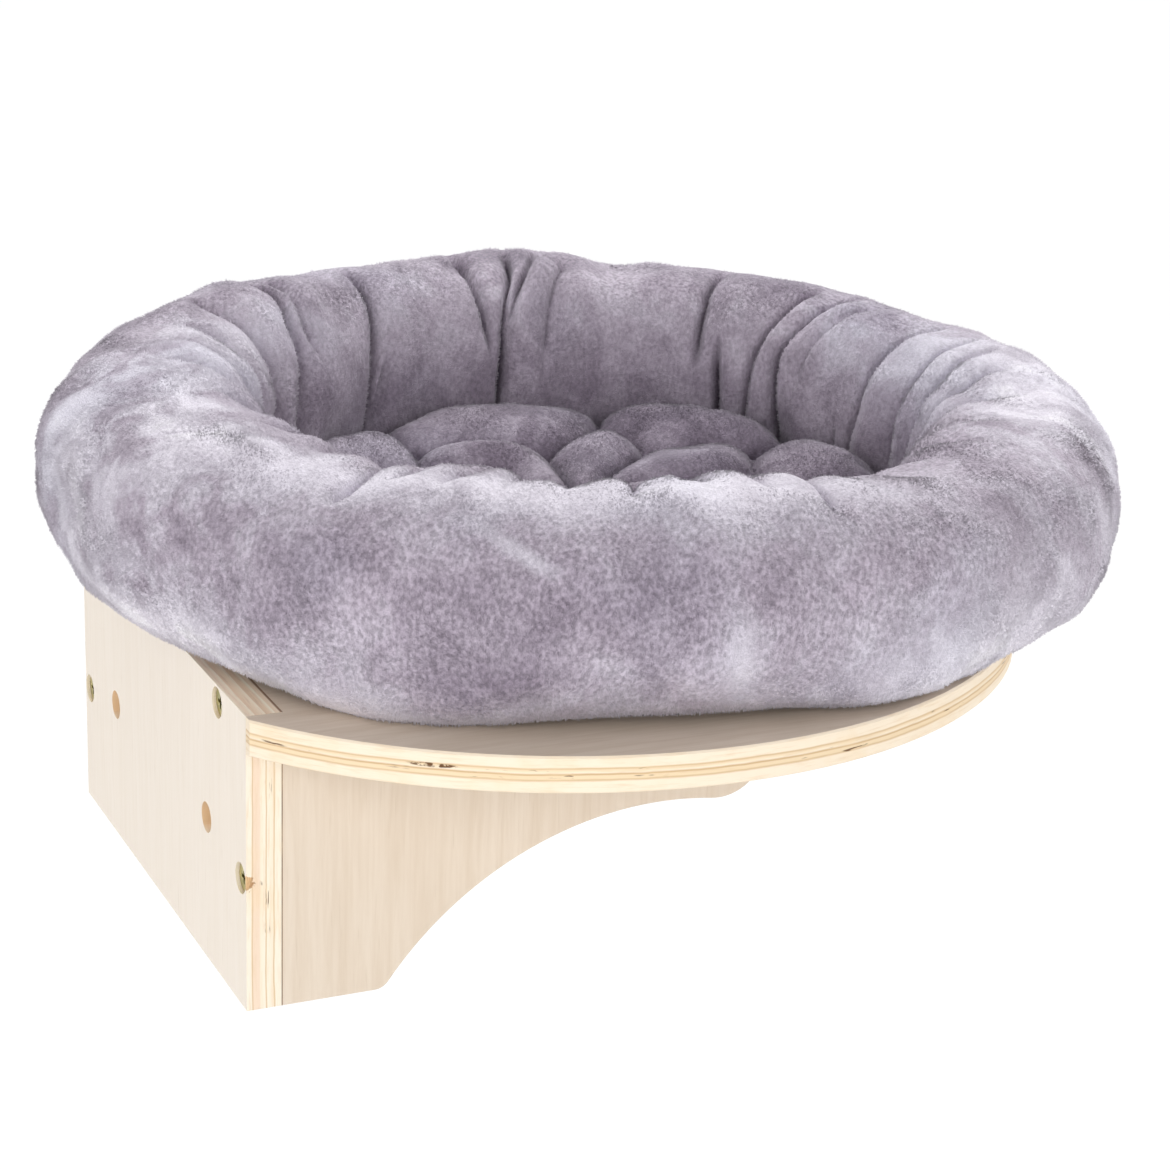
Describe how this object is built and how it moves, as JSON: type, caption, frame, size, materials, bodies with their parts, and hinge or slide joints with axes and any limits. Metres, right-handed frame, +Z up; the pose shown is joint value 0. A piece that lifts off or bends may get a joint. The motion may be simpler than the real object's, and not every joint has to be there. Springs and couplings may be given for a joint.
{
  "type": "cat wall shelf",
  "caption": "Wall-mounted cat shelf: a round plywood shelf on a wall board and arched brackets, carrying a loose plush ring bed with a tufted floor.",
  "frame": {"origin": "on the wall face of the wall board, midway between its wall holes", "axes": "+X along the wall, +Y into the wall, +Z up"},
  "size_m": [0.435, 0.482, 0.2334],
  "materials": {
    "plywood": "matte",
    "dowel_wood": "matte",
    "zinc_screw": "satin",
    "plush": "matte",
    "filling": "matte",
    "base_cloth": "matte"
  },
  "bodies": {
    "shelf": {"wall_board": "plywood", "shelf_board": "plywood", "left_bracket": "plywood", "right_bracket": "plywood", "shelf_screws": "zinc_screw", "bracket_screws": "zinc_screw", "shelf_dowels": "dowel_wood", "bracket_dowels": "dowel_wood"},
    "bed": {"base_cloth": "base_cloth", "rim_filling": "filling", "rim_cover": "plush", "floor_filling": "filling", "floor_cover": "plush"}
  },
  "joints": [
    {"name": "bed_lift", "type": "slide", "parent": "shelf", "child": "bed", "axis": [0, 0, 1], "range_m": [0, 0.1]}
  ]
}
